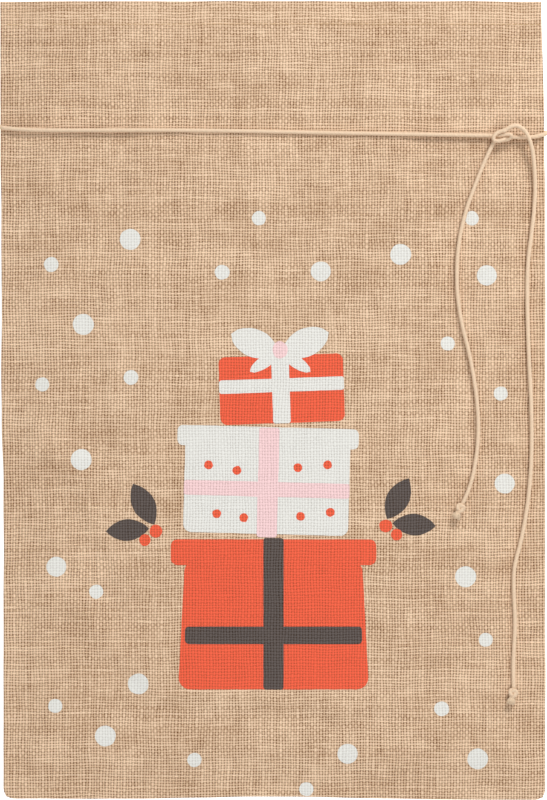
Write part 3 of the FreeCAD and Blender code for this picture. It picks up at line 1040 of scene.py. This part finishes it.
def twisted_mesh(name, line, radius, material, lay_length, strands=3, around=21, lobe=0.16):
    """A twisted cord along a line: its strands stand out as lobes that turn with the lay."""
    line = np.asarray(line)
    tangents = np.gradient(line, axis=0)
    tangents /= np.linalg.norm(tangents, axis=1)[:, None]
    side = np.cross(tangents[0], (0.0, 0.0, 1.0))
    if np.linalg.norm(side) < 0.1:
        side = np.cross(tangents[0], (0.0, 1.0, 0.0))
    side /= np.linalg.norm(side)
    travelled = np.concatenate([[0.0], np.cumsum(np.linalg.norm(np.diff(line, axis=0), axis=1))])
    points = []
    around_angles = np.arange(around) / around * 2 * math.pi
    for k, centre in enumerate(line):
        side = side - tangents[k] * side.dot(tangents[k])
        side /= np.linalg.norm(side)
        upright = np.cross(tangents[k], side)
        turn = travelled[k] / lay_length * 2 * math.pi
        lobes = 1 - lobe * (1 - np.abs(np.cos((around_angles - turn) * strands / 2)))
        for angle, size in zip(around_angles, lobes):
            points.append(centre + radius * size * (math.cos(angle) * side + math.sin(angle) * upright))
    rings = len(line)
    faces = []
    for k in range(rings - 1):
        near, far = k * around, (k + 1) * around
        for m in range(around):
            after = (m + 1) % around
            faces.append((near + m, near + after, far + after, far + m))
    faces.append(tuple(range(around))[::-1])
    faces.append(tuple((rings - 1) * around + m for m in range(around)))
    piece = mesh_piece(name, points, faces, material)
    lay = piece.data.uv_layers.new(name="Lay")
    for loop in piece.data.loops:
        ring, place = divmod(loop.vertex_index, around)
        spiral = place / around - travelled[ring] / lay_length
        lay.data[loop.index].uv = (travelled[ring], spiral)
    return piece


def cord_piece(name, route):
    line, length = smooth_route(name, route, 0.8 * MM)
    piece = twisted_mesh(name, line, sizes().cord_diameter / 2, cotton_cord(), sizes().lay_length)
    return piece, line, length


def joined(name, pieces):
    """Several meshes as one piece."""
    base = pieces[0]
    with bpy.context.temp_override(active_object=base, selected_editable_objects=pieces):
        bpy.ops.object.join()
    base.name = name
    base.data.name = name
    return base


def knot_strand(name, points, radius):
    """One turn of cord inside a knot."""
    line, _ = smooth_route(name, points, 0.5 * MM)
    return twisted_mesh(name, line, radius, cotton_cord(), sizes().lay_length * 0.8, around=18)


def end_knot_piece(node, heading):
    """An overhand knot pulled tight in the end of a tail."""
    low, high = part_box(node)
    centre = (low + high) / 2
    reach = 2.3 * MM
    turns = []
    for k in range(15):
        angle = k / 14 * 2 * math.pi * 0.985
        radial = reach * (1.0 + 0.42 * math.cos(3 * angle))
        lengthwise = radial * math.cos(2 * angle)
        sideways = 0.9 * radial * math.sin(2 * angle)
        upward = 0.85 * MM * math.sin(3 * angle)
        turns.append((lengthwise, sideways, upward))
    ahead = Vector((heading[0], heading[1], 0.0)).normalized()
    aside = Vector((-ahead.y, ahead.x, 0.0))
    points = [
        tuple(centre + ahead * a + aside * b + Vector((0.0, 0.0, c))) for a, b, c in turns
    ]
    return knot_strand(node + "_turns", points, 1.5 * MM)


def tuft_piece(node, heading, seed):
    """Frayed cotton fibres beyond an end knot."""
    low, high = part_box(node)
    centre = (low + high) / 2
    ahead = Vector((heading[0], heading[1], 0.0)).normalized()
    aside = Vector((-ahead.y, ahead.x, 0.0))
    root = centre - ahead * 3.0 * MM
    fibres = []
    count = 70
    for k in range(count):
        angle = k * 2.39996
        out = math.sqrt((k + 0.5) / count)
        wobble = noise.noise(Vector((k * 1.7, seed, 0.5)))
        spread = aside * math.cos(angle) + Vector((0.0, 0.0, 0.75)) * math.sin(angle)
        base = root + spread * out * 1.2 * MM
        tip = root + ahead * (5.6 + 1.6 * wobble - 1.2 * out) * MM + spread * out * (3.4 + 0.9 * wobble) * MM
        bend = (base + tip) / 2 + spread * out * 0.7 * MM
        line, _ = smooth_route("fibre", [tuple(base), tuple(bend), tuple(tip)], 0.9 * MM)
        fibres.append(twisted_mesh("fibre", line, 0.24 * MM, frayed_cotton(), 6 * MM, around=5, lobe=0.0))
    return joined(node + "_fibres", fibres)


SHORT_HEADING = (-0.45, -0.893)
LONG_HEADING = (-0.2, -0.98)


class OBJECT_OT_sack_cord(bpy.types.Operator):
    """Neck loop, main knot, two tails, their end knots and frayed ends"""

    bl_idname = "object.sack_cord"
    bl_label = "Tie cord"

    def execute(self, context):
        knot = self.main_knot()
        loop, loop_line, loop_length = cord_piece("neck_cord", NECK_ROUTE)
        self.finish(loop, "neck_loop")
        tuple(NECK_ROUTE[0])
        tails = (
            ("short_tail", SHORT_TAIL_ROUTE, SHORT_HEADING, 1.0),
            ("long_tail", LONG_TAIL_ROUTE, LONG_HEADING, 2.0),
        )
        for name, route, heading, seed in tails:
            piece, line, length = cord_piece(name + "_cord", route)
            self.finish(piece, name)
            end = end_knot_piece(name + "_knot", heading)
            self.finish(end, name + "_knot")
            tuft = tuft_piece(name + "_tuft", heading, seed)
            self.finish(tuft, name + "_tuft")
            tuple(route[0])
        return {"FINISHED"}

    @staticmethod
    def finish(piece, node):
        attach(piece, TIE)
        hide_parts(node)

    @classmethod
    def main_knot(cls):
        """A half knot: each end of the loop goes round the other and leaves as a tail."""
        first = [
            (-8.0, 0.5, -2.0), (-4.5, 0.3, -1.7), (0.0, 0.4, -0.2), (4.6, 1.5, 1.5), (8.0, 1.2, 1.3),
            (8.2, -0.8, 0.0), (5.0, -2.6, -1.2), (0.5, -2.6, -1.7), (-3.2, -2.2, -1.7), (-4.6, -4.0, -1.6),
        ]
        second = [
            (8.6, -0.5, -2.0), (5.6, -0.8, -2.0), (3.4, -1.6, -0.4), (1.8, -3.0, 1.2), (-1.6, -3.9, 1.4),
            (-4.9, -3.3, 1.2), (-5.2, -1.0, 1.6), (-3.8, 1.3, 1.7), (-1.6, 2.8, 1.5), (0.8, 3.4, 1.8),
            (3.4, 4.8, 2.1),
        ]
        strands = []
        for name, turns in (("first_turn", first), ("second_turn", second)):
            points = [tuple(KNOT_CENTRE + Vector(p) * MM) for p in turns]
            strands.append(knot_strand(name, points, sizes().cord_diameter / 2 * 0.97))
        knot = joined("main_knot_turns", strands)
        cls.finish(knot, "main_knot")
        return knot


# ---------------------------------------------------------------- the print


class PrintBed:
    """The finished front cloth, on which the ink lies."""

    tree = None

    @classmethod
    def lay_on(cls, piece):
        cls.tree = bvhtree.BVHTree.FromPolygons(
            [v.co.copy() for v in piece.data.vertices], [tuple(p.vertices) for p in piece.data.polygons]
        )

    @classmethod
    def place(cls, x, y, lift):
        """The place on the cloth under x and y; ink that would run off the foot stops at the foot."""
        for _ in range(12):
            hit = cls.tree.ray_cast(Vector((x, y, 1.0)), Vector((0.0, 0.0, -1.0)))
            if hit[0] is not None:
                return x, y, hit[0].z + lift
            y += 0.4 * MM
        raise ValueError("the print runs off the cloth")


def ink_film(name, outlines, material, lift):
    """Flat shapes, joined where they overlap, filled with small triangles and laid on the cloth."""
    spacing = 4 * MM
    places = []
    edges = []
    for outline in outlines:
        ring = [Vector(p) for p in outline]
        first = len(places)
        edges += [(first + k, first + (k + 1) % len(ring)) for k in range(len(ring))]
        places += ring
        xs = [p.x for p in ring]
        ys = [p.y for p in ring]
        for i in range(int(min(xs) / spacing) - 1, int(max(xs) / spacing) + 2):
            for j in range(int(min(ys) / spacing) - 1, int(max(ys) / spacing) + 2):
                place = Vector((i * spacing, j * spacing))
                if inside(place, ring) and min((place - p).length for p in ring) > 1.4 * MM:
                    places.append(place)
    filled = geometry.delaunay_2d_cdt(places, edges, [], 1, 1e-6)
    points = [PrintBed.place(p.x, p.y, lift) for p in filled[0]]
    piece = mesh_piece(name, points, [tuple(face) for face in filled[2]], material)
    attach(piece, SACK)
    return piece


def inside(place, ring):
    """Whether a place is inside a closed outline."""
    within = False
    for a, b in zip(ring, ring[1:] + ring[:1]):
        if (a.y > place.y) != (b.y > place.y):
            if place.x < a.x + (place.y - a.y) / (b.y - a.y) * (b.x - a.x):
                within = not within
    return within


def blob(x, y, width, height=None, seed=0.0, wobble=0.35):
    """A slightly uneven disc or oval, in millimetres from the sack's middle."""
    height = height or width
    ring = []
    for k in range(36):
        angle = k / 36 * 2 * math.pi
        uneven = wobble * noise.noise(Vector((math.cos(angle) * 1.6, math.sin(angle) * 1.6, seed)))
        ring.append(((x + (width / 2 + uneven) * math.cos(angle)) * MM,
                     (y + (height / 2 + uneven) * math.sin(angle)) * MM))
    return ring


def box_outline(x, y, width, height, corner=5.0, turn=0.0, flare=0.0):
    """A hand-drawn box: rounded corners, a slight lean, and sides that open out by flare at the top."""
    ring = []
    for across, along, start in ((1, 1, 0), (-1, 1, 90), (-1, -1, 180), (1, -1, 270)):
        for k in range(7):
            angle = math.radians(start + 15 * k)
            ring.append((
                across * (width / 2 - corner) + corner * math.cos(angle),
                along * (height / 2 - corner) + corner * math.sin(angle),
            ))
    drawn = []
    for a, b in zip(ring, ring[1:] + ring[:1]):
        steps = max(1, int(math.dist(a, b) / 4))
        drawn += [(a[0] + (b[0] - a[0]) * k / steps, a[1] + (b[1] - a[1]) * k / steps) for k in range(steps)]
    spread = [(px * (1 + flare * py / height / width), py) for px, py in drawn]
    return turned(spread, x, y, turn)


def turned(ring, x, y, turn):
    """A ring in millimetres, turned by degrees, moved to x and y, with a screen print's rough edge."""
    cosine, sine = math.cos(math.radians(turn)), math.sin(math.radians(turn))
    out = []
    for px, py in ring:
        across = x + px * cosine - py * sine
        along = y + px * sine + py * cosine
        rough = 0.25 * noise.noise(Vector((across * 0.4, along * 0.4, 3.0)))
        out.append(((across + rough) * MM, (along + rough) * MM))
    return out


def leaf(x, y, length, width, turn, fullness=0.8):
    """A pointed leaf, or with less fullness the loop of a bow, from its stalk end."""
    ring = []
    for side in (1, -1):
        for k in range(12):
            part = k / 12 if side > 0 else 1 - k / 12
            ring.append((part * length, side * width / 2 * math.sin(math.pi * part) ** fullness))
    return turned(ring, x, y, turn)


SNOW = [
    # across, up from the sack's middle, and diameter, in millimetres
    (-10.7, 134.4, 10.5), (-106.0, 118.8, 15.5), (-164.4, 100.3, 11.0), (-38.0, 94.4, 11.0),
    (35.0, 95.1, 14.8), (94.0, 107.7, 15.5), (146.6, 134.4, 10.5), (157.7, 92.2, 14.8),
    (-140.7, 55.9, 15.5), (-105.3, 16.7, 11.0), (-171.1, 11.5, 10.5), (128.9, 41.8, 10.5),
    (168.1, 4.8, 10.5), (-142.2, -44.1, 15.5), (171.1, -61.8, 14.8), (-160.7, -123.3, 14.8),
    (-131.1, -141.8, 10.5), (142.2, -130.7, 15.5), (157.0, -177.4, 10.5), (-100.0, -210.0, 15.5),
    (-161.5, -226.3, 10.5), (-124.4, -248.5, 15.5), (-58.5, -266.3, 10.5), (54.8, -261.8, 14.8),
    (124.4, -228.5, 11.0), (151.1, -265.5, 15.5), (24.4, -288.2, 10.5),
]


BOX_DOTS = [(-48, -48), (-27, -52), (18, -50), (40, -48), (-42, -84), (-22, -87), (20, -86), (42, -83)]


class OBJECT_OT_sack_print(bpy.types.Operator):
    """Snow dots and a stack of wrapped parcels, screen printed"""

    bl_idname = "object.sack_print"
    bl_label = "Print"

    def execute(self, context):
        PrintBed.lay_on(bpy.data.objects["front_cloth"])
        given = colours()
        red = ink("Screen ink, red", tuple(given.red_ink), dive_shade_level=0.56, top_highlight_level=1.1, bare_and_shaded_holes=0.6)
        white = ink("Screen ink, off-white", tuple(given.white_ink), dive_shade_level=0.8, top_highlight_level=1.03, bare_and_shaded_holes=0.35)
        charcoal = ink(
            "Screen ink, charcoal", tuple(given.charcoal_ink), dive_shade_level=0.2, top_highlight_level=2.1, bare_and_shaded_holes=0.25
        )
        pink = ink("Screen ink, pink", tuple(given.pink_ink), dive_shade_level=0.78, top_highlight_level=1.04, bare_and_shaded_holes=0.4)
        under, over, top = 0.15 * MM, 0.20 * MM, 0.25 * MM
        snow = [blob(x, y, width, seed=k * 3.1) for k, (x, y, width) in enumerate(SNOW)]
        ink_film("print_snow", snow, white, under)
        ink_film("print_red_boxes", [
            box_outline(6.0, 8.0, 92, 50, 5, 2.0),
            box_outline(0.0, -166.0, 136, 96, 9, 0.0, -10.0),
            box_outline(0.0, -112.5, 152, 19, 5),
        ], red, under)
        ink_film("print_white_box", [
            box_outline(-5.0, -64.0, 122, 70, 6, -1.5),
            box_outline(-4.0, -27.5, 134, 15, 4, -1.5),
        ], white, over)
        ink_film("print_white_ribbon", [
            box_outline(5.5, 8.0, 13, 50.5, 2, 2.0),
            box_outline(6.0, 11.0, 92.5, 10, 2, 2.0),
            leaf(7.0, 35.0, 37, 21, 24, 0.6),
            leaf(3.0, 35.0, 37, 21, 158, 0.6),
            leaf(5.0, 36.0, 27, 9, -34, 0.5),
            leaf(5.0, 36.0, 27, 9, 214, 0.5),
        ], white, top)
        ink_film("print_pink_ribbon", [
            box_outline(-4.0, -61.0, 15, 81, 2, -1.5),
            box_outline(-5.0, -66.0, 122.5, 11, 2, -1.5),
            blob(4.8, 37.0, 11, 13, 9.0),
        ], pink, top + 0.05 * MM)
        ink_film("print_charcoal_ribbon", [
            box_outline(0.0, -158.0, 15, 112, 2),
            box_outline(0.0, -174.0, 131, 13, 3),
            leaf(-88.0, -92.0, 34, 17, 118),
            leaf(-92.0, -95.0, 32, 16, 184),
            leaf(84.0, -88.0, 34, 17, 62),
            leaf(88.0, -91.0, 32, 16, -4),
        ], charcoal, top)
        ink_film("print_berries", [
            blob(-87.0, -97.0, 9.5, seed=5.0), blob(-95.0, -103.5, 8.5, seed=6.0),
            blob(83.0, -93.0, 9.5, seed=7.0), blob(91.0, -99.5, 8.5, seed=8.0),
        ], red, top + 0.05 * MM)
        ink_film("print_box_dots", [blob(x, y, 6.5, seed=x) for x, y in BOX_DOTS], red, top)
        return {"FINISHED"}


# ---------------------------------------------------------------- the stage


class OBJECT_OT_sack_stage(bpy.types.Operator):
    """Table, soft studio light and the camera straight above the sack"""

    bl_idname = "object.sack_stage"
    bl_label = "Stage"

    def execute(self, context):
        scene = context.scene
        scene.view_settings.view_transform = "Standard"
        reach = 4.0
        corners = [(-reach, -reach, 0.0), (reach, -reach, 0.0), (reach, reach, 0.0), (-reach, reach, 0.0)]
        table = mesh_piece("table", corners, [(0, 1, 2, 3)], table_top(), smooth=False)
        world = bpy.data.worlds.new("Studio")
        world.use_nodes = True
        sky = world.node_tree.nodes["Background"]
        sky.inputs["Color"].default_value = (1.0, 0.99, 0.975, 1.0)
        sky.inputs["Strength"].default_value = 0.46
        scene.world = world
        self.softbox("key_light", (0.85, 1.9, 1.5), 0.75, 44.0)
        self.softbox("fill_light", (0.2, -1.5, 2.1), 1.8, 26.0)
        camera_data = bpy.data.cameras.new("camera")
        camera = bpy.data.objects.new("camera", camera_data)
        scene.collection.objects.link(camera)
        distance = 2.6
        frame_height = 591.6 * MM
        camera.location = (0.0, 0.0, distance + FRONT_LEVEL)
        camera_data.sensor_width = 36.0
        camera_data.lens = 36.0 * distance / frame_height
        camera_data.clip_start = 0.05
        scene.camera = camera
        return {"FINISHED"}

    @staticmethod
    def softbox(name, place, size, power):
        light = bpy.data.lights.new(name, "AREA")
        light.shape = "SQUARE"
        light.size = size
        light.energy = power
        lamp = bpy.data.objects.new(name, light)
        bpy.context.scene.collection.objects.link(lamp)
        lamp.location = place
        lamp.rotation_euler = (-Vector(place)).to_track_quat("-Z", "Y").to_euler()


# ---------------------------------------------------------------- the add-on

STEPS = (
    OBJECT_OT_sack_stage,
    OBJECT_OT_sack_front,
    OBJECT_OT_sack_lip,
    OBJECT_OT_sack_back,
    OBJECT_OT_sack_sewing,
    OBJECT_OT_sack_cord,
    OBJECT_OT_sack_print,
)


class VIEW3D_PT_gift_sack(bpy.types.Panel):
    """Shows the sack's sizes, colours and building steps"""

    bl_idname = "VIEW3D_PT_gift_sack"
    bl_label = "Gift sack"
    bl_space_type = "VIEW_3D"
    bl_region_type = "UI"
    bl_category = "Gift sack"

    def draw(self, context):
        for group in (context.scene.sack_sizes, context.scene.sack_colours):
            for key in group.__annotations__:
                self.layout.prop(group, key)
        for step in STEPS:
            self.layout.operator(step.bl_idname)


CLASSES = (SackSizes, SackColours, *STEPS, VIEW3D_PT_gift_sack)


def register():
    for each in CLASSES:
        bpy.utils.register_class(each)
    bpy.types.Scene.sack_sizes = bpy.props.PointerProperty(type=SackSizes)
    bpy.types.Scene.sack_colours = bpy.props.PointerProperty(type=SackColours)


def unregister():
    del bpy.types.Scene.sack_colours
    del bpy.types.Scene.sack_sizes
    for each in reversed(CLASSES):
        bpy.utils.unregister_class(each)


def main():
    register()
    for step in STEPS:
        group, name = step.bl_idname.split(".")
        getattr(getattr(bpy.ops, group), name)()


if __name__ == "__main__":
    main()
